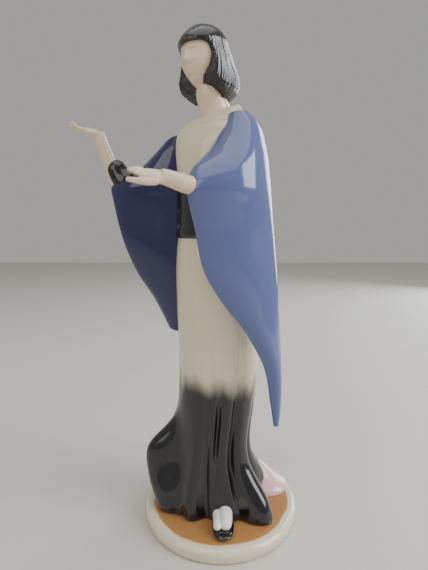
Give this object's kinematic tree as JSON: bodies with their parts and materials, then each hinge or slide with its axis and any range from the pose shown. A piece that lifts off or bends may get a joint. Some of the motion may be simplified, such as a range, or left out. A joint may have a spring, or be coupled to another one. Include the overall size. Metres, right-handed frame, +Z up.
{
  "type": "porcelain figurine of a woman in a kimono",
  "caption": "Standing woman in a long-sleeved kimono, both hands held out to her right, glazed ceramic, on a round plinth.",
  "frame": {"origin": "middle of the plinth's underside", "axes": "+Z up; -Y is the front, where the foot points; +X is her left side's way as seen by a viewer in front, so her hands point to -X"},
  "size_m": [0.1471, 0.1048, 0.3025],
  "materials": {
    "figure": "glazed porcelain, painted under the glaze",
    "plinth": "glazed porcelain, cream rim and brushed tan top"
  },
  "bodies": {
    "root": {"figure": "figure", "plinth": "plinth"}
  },
  "joints": []
}
